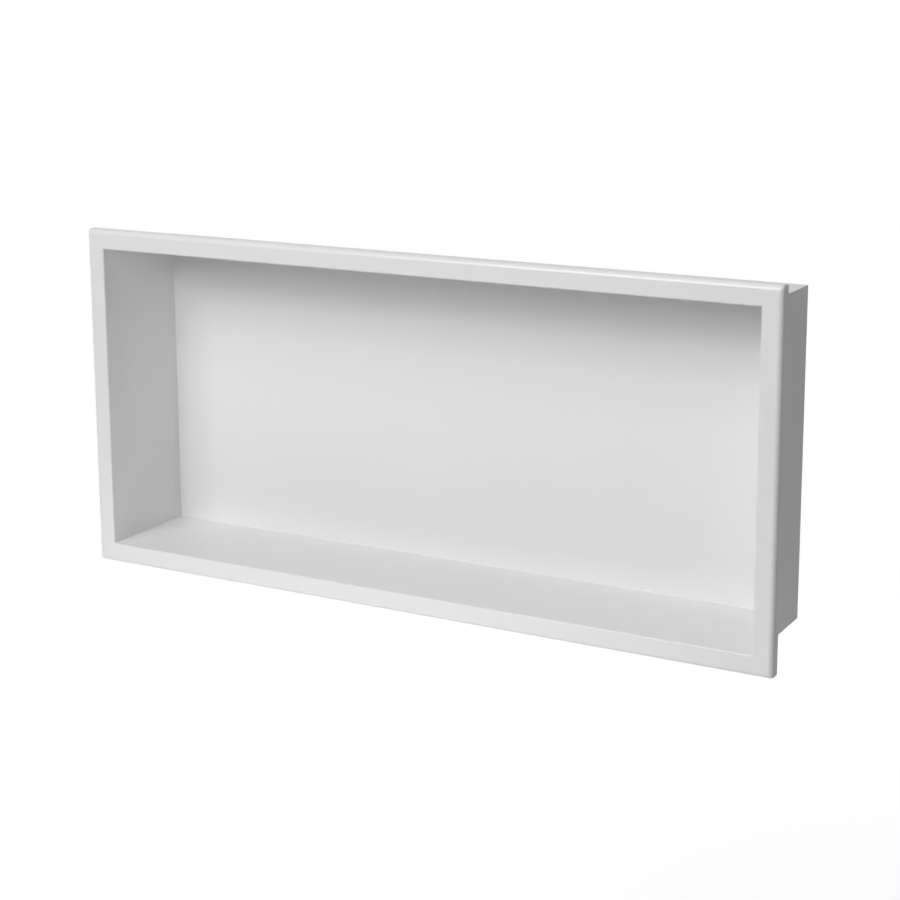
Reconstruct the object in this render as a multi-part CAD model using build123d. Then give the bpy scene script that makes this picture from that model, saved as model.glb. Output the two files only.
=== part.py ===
"""Recessed shower niche: a shallow box with a rolled flange, folded and welded from one sheet.

Frame: X runs along the wall, Y into the wall, Z up. The origin is the centre of the opening,
in the plane of the wall's face, where the back edge of the flange's return comes to rest.
"""
from build123d import *
import os

# Driving dimensions, in millimetres
opening_width = 600.0  # between the insides of the side walls
opening_height = 265.0  # shelf to the underside of the top wall
niche_depth = 100.0  # front of the flange to the inside of the back panel
sheet = 1.2  # thickness of the steel sheet
flange_width = 17.0  # edge of the opening to the outer edge of the flange
return_depth = 10.0  # front of the flange to the back edge of its return
roll_radius = 4.5  # outside of the bend from the flange into its return
fold_radius = 0.5  # inside of the tight folds at the mouth and at the back panel
corner_radius = 2.0  # welded corners of the return, ground round

# What follows from them
flange_front = -return_depth
panel_inside = niche_depth - return_depth
panel_edge = fold_radius + sheet  # wall's inside to the edge of the back panel's flat
overall_depth = niche_depth + sheet


def folded_section(wall):
    """Cross-section of the sheet, in Y and Z, from the return to the back panel.

    The line drawn is the side of the sheet that shows: outside of the return, front of the
    flange, inside of the wall at this Z. The sheet's thickness lies behind it.
    """
    rim = wall - flange_width
    shown_side = FilletPolyline(
        (0, rim),
        (flange_front, rim),
        (flange_front, wall),
        (panel_inside, wall),
        (panel_inside, wall + panel_edge),
        radius=[roll_radius, fold_radius + sheet, fold_radius],
    )
    return Plane.YZ * make_face(offset(shown_side, sheet, side=Side.RIGHT))


def mitred_side(length, wall):
    """One folded side of the opening, cut at 45 degrees where its neighbours are welded on."""
    long_edge = length / 2 + flange_width
    short_edge = length / 2 - panel_edge
    mitre_outline = Polyline(
        (-long_edge, wall - flange_width),
        (long_edge, wall - flange_width),
        (short_edge, wall + panel_edge),
        (-short_edge, wall + panel_edge),
        close=True,
    )
    folded_strip = extrude(folded_section(wall), long_edge, both=True)
    mitre_block = extrude(Plane.XZ * make_face(mitre_outline), overall_depth, both=True)
    return folded_strip & mitre_block


def back_panel():
    """Flat of the back panel, inside its four folds."""
    flat = Rectangle(opening_width - 2 * panel_edge, opening_height - 2 * panel_edge)
    return extrude(Plane.XZ.offset(-panel_inside) * flat, -sheet)


def ground_outline():
    """Block with the outline that the flange's welded corners are ground to."""
    rim_width = opening_width + 2 * flange_width
    rim_height = opening_height + 2 * flange_width
    outline = RectangleRounded(rim_width, rim_height, corner_radius)
    return extrude(Plane.XZ * outline, overall_depth, both=True)


def shell():
    """The whole niche: shelf, top and two side walls welded round the back panel."""
    shelf_side = mitred_side(opening_width, -opening_height / 2)
    upright_side = Rot(Y=90) * mitred_side(opening_height, -opening_width / 2)
    half_turn = Rot(Y=180)
    sides = shelf_side + upright_side + half_turn * shelf_side + half_turn * upright_side
    return (sides + back_panel()) & ground_outline()


os.makedirs("parts", exist_ok=True)
export_step(shell(), "parts/niche_shell.step")
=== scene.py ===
"""Looks of a recessed shower niche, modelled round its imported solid.

One folded sheet makes the whole object: a shallow box, the flange round its mouth, and the
return that the flange rolls into at its outer edge. Lengths are in metres, in the frame of the
solid: X runs along the wall, Y into the wall, Z up, and the wall's face is at Y = 0.
"""

import logging
import math
from collections.abc import Callable, Iterator
from contextlib import contextmanager
from dataclasses import dataclass
from enum import Enum

import bmesh
import bpy
from mathutils import Matrix, Vector


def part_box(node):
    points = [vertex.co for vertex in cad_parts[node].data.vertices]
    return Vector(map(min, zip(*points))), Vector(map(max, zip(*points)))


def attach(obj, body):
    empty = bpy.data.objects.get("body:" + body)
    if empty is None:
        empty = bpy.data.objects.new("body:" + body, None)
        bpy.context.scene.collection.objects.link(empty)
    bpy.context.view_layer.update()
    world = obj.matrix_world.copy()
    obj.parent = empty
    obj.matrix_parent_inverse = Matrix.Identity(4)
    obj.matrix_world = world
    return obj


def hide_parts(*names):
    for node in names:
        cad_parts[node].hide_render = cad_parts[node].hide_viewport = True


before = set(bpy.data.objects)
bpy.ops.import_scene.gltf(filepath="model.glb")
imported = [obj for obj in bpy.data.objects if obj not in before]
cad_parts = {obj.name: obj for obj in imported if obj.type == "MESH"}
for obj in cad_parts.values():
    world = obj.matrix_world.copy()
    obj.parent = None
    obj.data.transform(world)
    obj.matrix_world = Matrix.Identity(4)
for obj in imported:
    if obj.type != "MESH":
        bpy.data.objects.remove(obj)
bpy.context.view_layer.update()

MM = 0.001
NEAR = 0.01 * MM  # two places closer than this are the same place
IMAGE_SIDE = 900  # pixels along each side of the picture
WHITE = (1.0, 1.0, 1.0, 1.0)

log = logging.getLogger("shower_niche")


class SheetSide(Enum):
    """The two sides of the folded sheet."""

    SHOWN = "shown_side"  # inside of the box, front of the flange, outside of the return
    HIDDEN = "hidden_side"  # outside of the box, back of the flange, inside of the return


@contextmanager
def editing() -> Iterator[None]:
    """Hold the active piece in edit mode, with edges as what gets selected."""
    bpy.ops.object.mode_set(mode="EDIT")
    bpy.ops.mesh.select_mode(type="EDGE")
    yield
    bpy.ops.object.mode_set(mode="OBJECT")


def select_edges(piece: bpy.types.Object, belongs: Callable[[bmesh.types.BMEdge], bool]) -> None:
    """Select some edges of a piece that is in edit mode, and the faces that they enclose.

    Args:
        piece: The object being edited.
        belongs: Says whether an edge is selected.
    """
    bpy.ops.mesh.select_all(action="DESELECT")
    mesh = bmesh.from_edit_mesh(piece.data)
    for edge in mesh.edges:
        if belongs(edge):
            edge.select_set(True)
    mesh.select_flush_mode()
    bmesh.update_edit_mesh(piece.data)


def round_edges(
    piece: bpy.types.Object, belongs: Callable[[bmesh.types.BMEdge], bool], radius: float, flats: int
) -> None:
    """Round some edges of a piece that is in edit mode.

    Args:
        piece: The object being edited.
        belongs: Says whether an edge is rounded.
        radius: Radius of the rounding.
        flats: How many flats make up a quarter turn of it.
    """
    select_edges(piece, belongs)
    bpy.ops.mesh.bevel(
        offset_type="OFFSET", offset=radius, segments=flats, affect="EDGES", clamp_overlap=False
    )


@dataclass(frozen=True)
class PowderCoat:
    """Fine matt powder coat: an even pale grey with a very slight orange peel."""

    colour: tuple[float, float, float] = (0.80, 0.80, 0.80)
    cloud_colour: tuple[float, float, float] = (0.78, 0.781, 0.783)  # in its faint clouds
    cloud_size: float = 90 * MM
    cloud_detail: float = 3.0  # finer layers in the clouds
    peel_size: float = 1.6 * MM
    peel_height: float = 0.012 * MM
    grain_size: float = 0.4 * MM
    grain_height: float = 0.004 * MM
    relief_detail: float = 1.0  # finer layers in the peel and in the grain
    roughness: tuple[float, float] = (0.27, 0.35)  # in the hollows and on the peaks of the peel
    specular: float = 0.65

    def noise(self, tree: bpy.types.NodeTree, size: float, detail: float) -> bpy.types.NodeSocket:
        """Add a noise pattern on Object coordinates.

        Args:
            tree: The node tree of the material.
            size: Width of one feature of the pattern.
            detail: How many finer layers it has.

        Returns:
            The socket that gives the pattern's value.
        """
        place = tree.nodes.new("ShaderNodeTexCoord")
        pattern = tree.nodes.new("ShaderNodeTexNoise")
        pattern.inputs["Scale"].default_value = 1.0 / size
        pattern.inputs["Detail"].default_value = detail
        tree.links.new(place.outputs["Object"], pattern.inputs["Vector"])
        return pattern.outputs["Fac"]

    def bump(
        self,
        tree: bpy.types.NodeTree,
        height: bpy.types.NodeSocket,
        distance: float,
        under: bpy.types.NodeSocket | None = None,
    ) -> bpy.types.NodeSocket:
        """Add one layer of relief.

        Args:
            tree: The node tree of the material.
            height: The pattern that gives the relief.
            distance: How high its peaks are.
            under: The relief that this layer lies on.

        Returns:
            The socket that gives the tilted normal.
        """
        layer = tree.nodes.new("ShaderNodeBump")
        layer.inputs["Distance"].default_value = distance
        tree.links.new(height, layer.inputs["Height"])
        if under is not None:
            tree.links.new(under, layer.inputs["Normal"])
        return layer.outputs["Normal"]

    def material(self) -> bpy.types.Material:
        """Make the coat as a node material.

        Returns:
            The material.
        """
        coat = bpy.data.materials.new("pale_powder_coat")
        coat.use_nodes = True
        tree = coat.node_tree
        shader = tree.nodes["Principled BSDF"]
        shader.inputs["Specular IOR Level"].default_value = self.specular

        cloud = self.noise(tree, self.cloud_size, self.cloud_detail)
        tone = tree.nodes.new("ShaderNodeMix")
        tone.data_type = "RGBA"
        tone.inputs["A"].default_value = (*self.colour, 1.0)
        tone.inputs["B"].default_value = (*self.cloud_colour, 1.0)
        tree.links.new(cloud, tone.inputs["Factor"])
        tree.links.new(tone.outputs["Result"], shader.inputs["Base Color"])

        peel = self.noise(tree, self.peel_size, self.relief_detail)
        gloss = tree.nodes.new("ShaderNodeMapRange")
        gloss.inputs["To Min"].default_value = self.roughness[0]
        gloss.inputs["To Max"].default_value = self.roughness[1]
        tree.links.new(peel, gloss.inputs["Value"])
        tree.links.new(gloss.outputs["Result"], shader.inputs["Roughness"])

        grain = self.noise(tree, self.grain_size, self.relief_detail)
        peel_relief = self.bump(tree, peel, self.peel_height)
        relief = self.bump(tree, grain, self.grain_height, peel_relief)
        tree.links.new(relief, shader.inputs["Normal"])
        return coat


@dataclass(frozen=True)
class SheetSurface:
    """One side of the folded sheet: a box, the flange round its mouth and the return."""

    side: SheetSide
    opening_width: float
    opening_height: float
    flange_width: float
    flange_y: float  # plane of the flange
    panel_y: float  # plane of the back panel
    cut_y: float  # plane of the cut edge
    roll_radius: float  # from the flange into the return
    mouth_radius: float  # from the walls into the flange
    back_radius: float  # from the walls into the back panel
    return_corner_radius: float
    fold_flats: int = 12  # in a quarter turn
    corner_flats: int = 6  # in a quarter turn

    @property
    def rim_width(self) -> float:
        """Width over the return."""
        return self.opening_width + 2 * self.flange_width

    @property
    def rim_height(self) -> float:
        """Height over the return."""
        return self.opening_height + 2 * self.flange_width

    def build(self) -> bpy.types.Object:
        """Fold this side of the sheet.

        Returns:
            The surface, open at its cut edge.
        """
        surface = self.fold_box()
        with editing():
            self.fold_flange(surface)
            self.round_folds(surface)
        return surface

    def fold_box(self) -> bpy.types.Object:
        """Make the box, with its faces turned away from the sheet's other side.

        Returns:
            The surface, with the closed box alone.
        """
        depth = self.panel_y - self.flange_y
        bpy.ops.object.select_all(action="DESELECT")
        bpy.ops.mesh.primitive_cube_add(
            size=1.0,
            location=(0.0, self.flange_y + depth / 2, 0.0),
            scale=(self.opening_width, depth, self.opening_height),
        )
        surface = bpy.context.active_object
        surface.name = self.side.value
        bpy.ops.object.transform_apply(location=True, rotation=True, scale=True)
        with editing():
            bpy.ops.mesh.select_all(action="SELECT")
            bpy.ops.mesh.normals_make_consistent(inside=self.side is SheetSide.SHOWN)
        return surface

    def fold_flange(self, surface: bpy.types.Object) -> None:
        """Open the box's mouth, and fold the flange out from it and the return back.

        Args:
            surface: The closed box, in edit mode.
        """
        spread = (self.rim_width / self.opening_width, 1.0, self.rim_height / self.opening_height)
        select_edges(surface, self.at_flange)
        bpy.ops.mesh.delete(type="ONLY_FACE")
        select_edges(surface, self.at_flange)
        bpy.ops.mesh.extrude_edges_move()
        bpy.ops.transform.resize(value=spread, center_override=(0.0, 0.0, 0.0))
        bpy.ops.mesh.extrude_edges_move(
            TRANSFORM_OT_translate={"value": (0.0, self.cut_y - self.flange_y, 0.0)}
        )

    def round_folds(self, surface: bpy.types.Object) -> None:
        """Round the folds, and then the welded corners of the return.

        Args:
            surface: The surface with sharp folds, in edit mode.
        """
        round_edges(surface, self.at_rim, self.roll_radius, self.fold_flats)
        round_edges(surface, self.at_mouth, self.mouth_radius, self.fold_flats)
        round_edges(surface, self.at_back, self.back_radius, self.fold_flats)
        round_edges(surface, self.at_return_corner, self.return_corner_radius, self.corner_flats)

    def insets(self, edge: bmesh.types.BMEdge) -> list[tuple[float, float]]:
        """How far the ends of an edge are inside the rim's outline, along X and along Z."""
        half_width, half_height = self.rim_width / 2, self.rim_height / 2
        return [(half_width - abs(end.co.x), half_height - abs(end.co.z)) for end in edge.verts]

    def at_flange(self, edge: bmesh.types.BMEdge) -> bool:
        """Whether an edge is in the plane of the flange."""
        return all(abs(end.co.y - self.flange_y) < NEAR for end in edge.verts)

    def at_rim(self, edge: bmesh.types.BMEdge) -> bool:
        """Whether an edge is on the outline of the flange."""
        return self.at_flange(edge) and all(min(inset) < NEAR for inset in self.insets(edge))

    def at_mouth(self, edge: bmesh.types.BMEdge) -> bool:
        """Whether an edge is on the outline of the mouth."""
        inner = self.flange_width - NEAR
        return self.at_flange(edge) and all(min(inset) > inner for inset in self.insets(edge))

    def at_back(self, edge: bmesh.types.BMEdge) -> bool:
        """Whether an edge is on the outline of the back panel."""
        return all(abs(end.co.y - self.panel_y) < NEAR for end in edge.verts)

    def at_return_corner(self, edge: bmesh.types.BMEdge) -> bool:
        """Tell whether an edge is on a corner of the return.

        Args:
            edge: An edge of the surface, with its folds round already.

        Returns:
            Whether it runs along the corner, somewhere from the flange's flat to the cut edge.
        """
        start, end = (vertex.co for vertex in edge.verts)
        same_corner = start.x * end.x > 0 and start.z * end.z > 0
        return same_corner and all(
            abs(x - z) < NEAR and x < self.roll_radius + NEAR for x, z in self.insets(edge)
        )


@dataclass
class NicheShell:
    """The folded sheet, with the two sides of it closed at its cut edge into one piece."""

    low: Vector  # left, front and lower limits of the solid
    high: Vector  # right, back and upper limits of the solid
    flange_width: float = 17.0 * MM  # edge of the opening to the outer edge of the flange
    sheet: float = 1.2 * MM  # thickness of the steel sheet
    roll_radius: float = 4.5 * MM  # outside of the bend from the flange into its return
    fold_radius: float = 0.5 * MM  # inside of the tight folds at the mouth and at the back panel
    corner_radius: float = 2.0 * MM  # welded corners of the return, ground round
    cut_radius: float = 0.3 * MM  # both arrises of the cut edge
    cut_flats: int = 3  # in a quarter turn of an arris
    smooth_angle: float = math.radians(35)  # flats that meet at less are shaded as one curve

    def surface(self, side: SheetSide) -> SheetSurface:
        """Work out one side of the sheet.

        Args:
            side: Which side it is.

        Returns:
            The side's surface. The folds of both sides share their centres, so the sheet is even.
        """
        under = 0.0 if side is SheetSide.SHOWN else self.sheet
        return SheetSurface(
            side=side,
            opening_width=self.high.x - self.low.x - 2 * self.flange_width + 2 * under,
            opening_height=self.high.z - self.low.z - 2 * self.flange_width + 2 * under,
            flange_width=self.flange_width - 2 * under,
            flange_y=self.low.y + under,
            panel_y=self.high.y - self.sheet + under,
            cut_y=0.0,
            roll_radius=self.roll_radius - under,
            mouth_radius=self.fold_radius + self.sheet - under,
            back_radius=self.fold_radius + under,
            return_corner_radius=self.corner_radius - under,
        )

    def build(self) -> bpy.types.Object:
        """Fold both sides of the sheet, and close the sheet between them.

        Returns:
            The finished piece, at the origin.
        """
        sides = [self.surface(side).build() for side in SheetSide]
        bpy.ops.object.select_all(action="DESELECT")
        for side in sides:
            side.select_set(True)
        bpy.context.view_layer.objects.active = sides[0]
        bpy.ops.object.join()
        piece = bpy.context.active_object
        piece.name = "folded_shell"
        with editing():
            select_edges(piece, lambda edge: edge.is_boundary)
            bpy.ops.mesh.bridge_edge_loops()
            round_edges(piece, self.at_cut_edge, self.cut_radius, self.cut_flats)
        self.smooth(piece)
        return piece

    def at_cut_edge(self, edge: bmesh.types.BMEdge) -> bool:
        """Whether an edge is an arris of the sheet's cut edge, at the back of the return."""
        at_wall = all(abs(end.co.y) < NEAR for end in edge.verts)
        return at_wall and edge.calc_face_angle(0.0) > self.smooth_angle

    def smooth(self, piece: bpy.types.Object) -> None:
        """Shade the folds as curves and the flats as flats.

        Args:
            piece: The finished mesh.
        """
        bpy.ops.object.shade_smooth_by_angle(angle=self.smooth_angle)
        evener = piece.modifiers.new("even_flats", "WEIGHTED_NORMAL")
        evener.keep_sharp = True
        bpy.ops.object.modifier_apply(modifier=evener.name)

    def dress(self, piece: bpy.types.Object, coat: PowderCoat) -> None:
        """Coat the shell, and let it stand for its solid.

        Args:
            piece: The finished piece.
            coat: Its finish.
        """
        piece.data.materials.append(coat.material())
        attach(piece, "root")
        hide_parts("niche_shell")


@dataclass(frozen=True)
class Softbox:
    """One soft lamp, aimed at the niche."""

    name: str
    place: tuple[float, float, float]
    size: tuple[float, float]  # width and height
    power: float  # in watts
    aim: tuple[float, float, float] = (0.0, 0.0, 0.0)
    mirrored: bool = True  # whether gloss shows the lamp

    def build(self) -> bpy.types.Object:
        """Hang the lamp in its place.

        Returns:
            The lamp.
        """
        lamp = bpy.data.lights.new(self.name, "AREA")
        lamp.shape = "RECTANGLE"
        lamp.size, lamp.size_y = self.size
        lamp.energy = self.power
        holder = bpy.data.objects.new(self.name, lamp)
        holder.location = self.place
        towards = Vector(self.aim) - Vector(self.place)
        holder.rotation_euler = towards.to_track_quat("-Z", "Y").to_euler()
        holder.visible_camera = False
        holder.visible_glossy = self.mirrored
        bpy.context.scene.collection.objects.link(holder)
        return holder


@dataclass(frozen=True)
class PaleStudio:
    """A pale floor, as far down as a niche is set above one, and white surroundings."""

    drop: float = 1.1  # from the niche to the floor
    radius: float = 3.0
    rim_flats: int = 96
    plain_radius: float = 1.2  # as far out as the floor's lift is even
    floor_colour: tuple[float, float, float] = (0.86, 0.86, 0.86)
    floor_roughness: float = 0.9
    floor_lift: float = 0.75
    rim_lift: float = 1.0  # white without any lamp

    def seen_directly(self, tree: bpy.types.NodeTree) -> bpy.types.NodeSocket:
        """Add the test for light that reaches the eye directly, or by gloss or glass.

        Args:
            tree: The node tree of the floor or of the world.

        Returns:
            The socket that is 1 for such light and 0 for the rest.
        """
        path = tree.nodes.new("ShaderNodeLightPath")
        total = path.outputs["Is Camera Ray"]
        for name in ("Is Glossy Ray", "Is Transmission Ray"):
            either = tree.nodes.new("ShaderNodeMath")
            either.operation = "MAXIMUM"
            tree.links.new(total, either.inputs[0])
            tree.links.new(path.outputs[name], either.inputs[1])
            total = either.outputs["Value"]
        return total

    def rim_fade(self, tree: bpy.types.NodeTree) -> bpy.types.NodeSocket:
        """Add the floor's lift, which grows to white towards the rim, where less lamp light falls.

        Args:
            tree: The node tree of the floor.

        Returns:
            The socket that gives the lift.
        """
        place = tree.nodes.new("ShaderNodeTexCoord")
        reach = tree.nodes.new("ShaderNodeVectorMath")
        reach.operation = "LENGTH"
        fade = tree.nodes.new("ShaderNodeMapRange")
        fade.inputs["From Min"].default_value = math.hypot(self.plain_radius, self.drop)
        fade.inputs["From Max"].default_value = math.hypot(self.radius, self.drop)
        fade.inputs["To Min"].default_value = self.floor_lift
        fade.inputs["To Max"].default_value = self.rim_lift
        tree.links.new(place.outputs["Object"], reach.inputs[0])
        tree.links.new(reach.outputs["Value"], fade.inputs["Value"])
        return fade.outputs["Result"]

    def floor(self) -> bpy.types.Object:
        """Lay the floor, pale, and lifted to white where it is seen in plain light.

        Returns:
            The floor.
        """
        bpy.ops.object.select_all(action="DESELECT")
        bpy.ops.mesh.primitive_circle_add(
            vertices=self.rim_flats,
            radius=self.radius,
            fill_type="NGON",
            location=(0.0, 0.0, -self.drop),
        )
        ground = bpy.context.active_object
        ground.name = "pale_floor"
        bpy.ops.object.transform_apply(location=True, rotation=True, scale=True)
        paint = bpy.data.materials.new("pale_floor_paint")
        paint.use_nodes = True
        tree = paint.node_tree
        shader = tree.nodes["Principled BSDF"]
        shader.inputs["Base Color"].default_value = (*self.floor_colour, 1.0)
        shader.inputs["Roughness"].default_value = self.floor_roughness
        shader.inputs["Emission Color"].default_value = WHITE
        lift = tree.nodes.new("ShaderNodeMath")
        lift.operation = "MULTIPLY"
        tree.links.new(self.seen_directly(tree), lift.inputs[0])
        tree.links.new(self.rim_fade(tree), lift.inputs[1])
        tree.links.new(lift.outputs["Value"], shader.inputs["Emission Strength"])
        ground.data.materials.append(paint)
        return ground

    def surroundings(self) -> bpy.types.World:
        """Surround the niche with white, which is seen, in gloss too, but sheds no light.

        Returns:
            The world.
        """
        world = bpy.data.worlds.new("white_surroundings")
        world.use_nodes = True
        tree = world.node_tree
        tree.nodes.clear()
        white = tree.nodes.new("ShaderNodeBackground")
        white.inputs["Color"].default_value = WHITE
        output = tree.nodes.new("ShaderNodeOutputWorld")
        tree.links.new(self.seen_directly(tree), white.inputs["Strength"])
        tree.links.new(white.outputs["Background"], output.inputs["Surface"])
        bpy.context.scene.world = world
        return world


@dataclass(frozen=True)
class ViewCamera:
    """The camera, to the right of the niche and a little above it."""

    place: tuple[float, float, float] = (0.786, -1.352, 0.390)
    heading: float = math.radians(28.97)  # to the left of straight into the wall
    tilt: float = math.radians(-11.56)  # up from level: below zero, it looks down
    roll: float = math.radians(-0.24)
    focal_pixels: float = 1984.0  # focal length, in pixels of the picture
    sensor_width: float = 36.0  # in millimetres, as the focal length is
    horizon_shift: float = -0.111  # as a share of the sensor's width

    def build(self) -> bpy.types.Object:
        """Set up the camera and make it the scene's own.

        Returns:
            The camera.
        """
        lens = bpy.data.cameras.new("view_camera")
        lens.sensor_width = self.sensor_width
        lens.lens = self.focal_pixels * self.sensor_width / IMAGE_SIDE
        lens.shift_y = self.horizon_shift
        camera = bpy.data.objects.new("view_camera", lens)
        camera.location = self.place
        turn = Matrix.Rotation(self.heading, 3, "Z")
        nod = Matrix.Rotation(math.pi / 2 + self.tilt, 3, "X")
        lean = Matrix.Rotation(self.roll, 3, "Z")
        camera.rotation_euler = (turn @ nod @ lean).to_euler()
        bpy.context.scene.collection.objects.link(camera)
        bpy.context.scene.camera = camera
        return camera


# The first four light the front, and the last lifts the lower part of the flange.
# Those between them light the top, the back and the sides.
SOFTBOXES = (
    Softbox("key_softbox", place=(-0.58, -1.65, 1.15), size=(0.85, 0.55), power=15.0),
    Softbox("front_softbox", place=(0.25, -1.81, 0.85), size=(0.8, 0.6), power=7.9),
    Softbox("high_softbox", place=(0.0, -2.9, 3.04), size=(1.6, 1.2), power=30.0),
    Softbox("far_softbox", place=(0.2, -3.6, 1.4), size=(1.8, 0.8), power=17.0),
    Softbox("top_softbox", place=(0.0, 0.0, 2.1), size=(0.8, 0.8), power=7.0),
    Softbox("back_softbox", place=(-0.2, 1.25, -0.2), size=(0.9, 0.6), power=7.0, mirrored=False),
    Softbox("left_softbox", place=(-1.25, 0.35, -0.2), size=(0.6, 0.6), power=2.8, mirrored=False),
    Softbox(
        "right_softbox",
        place=(1.0, 0.25, -0.5),
        size=(0.5, 0.5),
        power=0.25,
        aim=(0.3, 0.05, -0.1),
        mirrored=False,
    ),
    Softbox(
        "low_strip",
        place=(-0.07, -0.17, -0.285),
        size=(0.62, 0.22),
        power=0.33,
        aim=(-0.07, -0.01, -0.141),
        mirrored=False,
    ),
)


def main() -> None:
    """Build the niche, its studio and its camera, in that order."""
    logging.basicConfig(level=logging.INFO, format="%(message)s")
    bpy.context.scene.view_settings.view_transform = "Standard"

    shell = NicheShell(*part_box("niche_shell"))
    piece = shell.build()
    shell.dress(piece, PowderCoat())
    log.info("%s: %d faces", piece.name, len(piece.data.polygons))

    studio = PaleStudio()
    log.info("%s laid", studio.floor().name)
    log.info("%s set", studio.surroundings().name)
    for softbox in SOFTBOXES:
        log.info("%s hung", softbox.build().name)
    log.info("%s placed", ViewCamera().build().name)


if __name__ == "__main__":
    main()
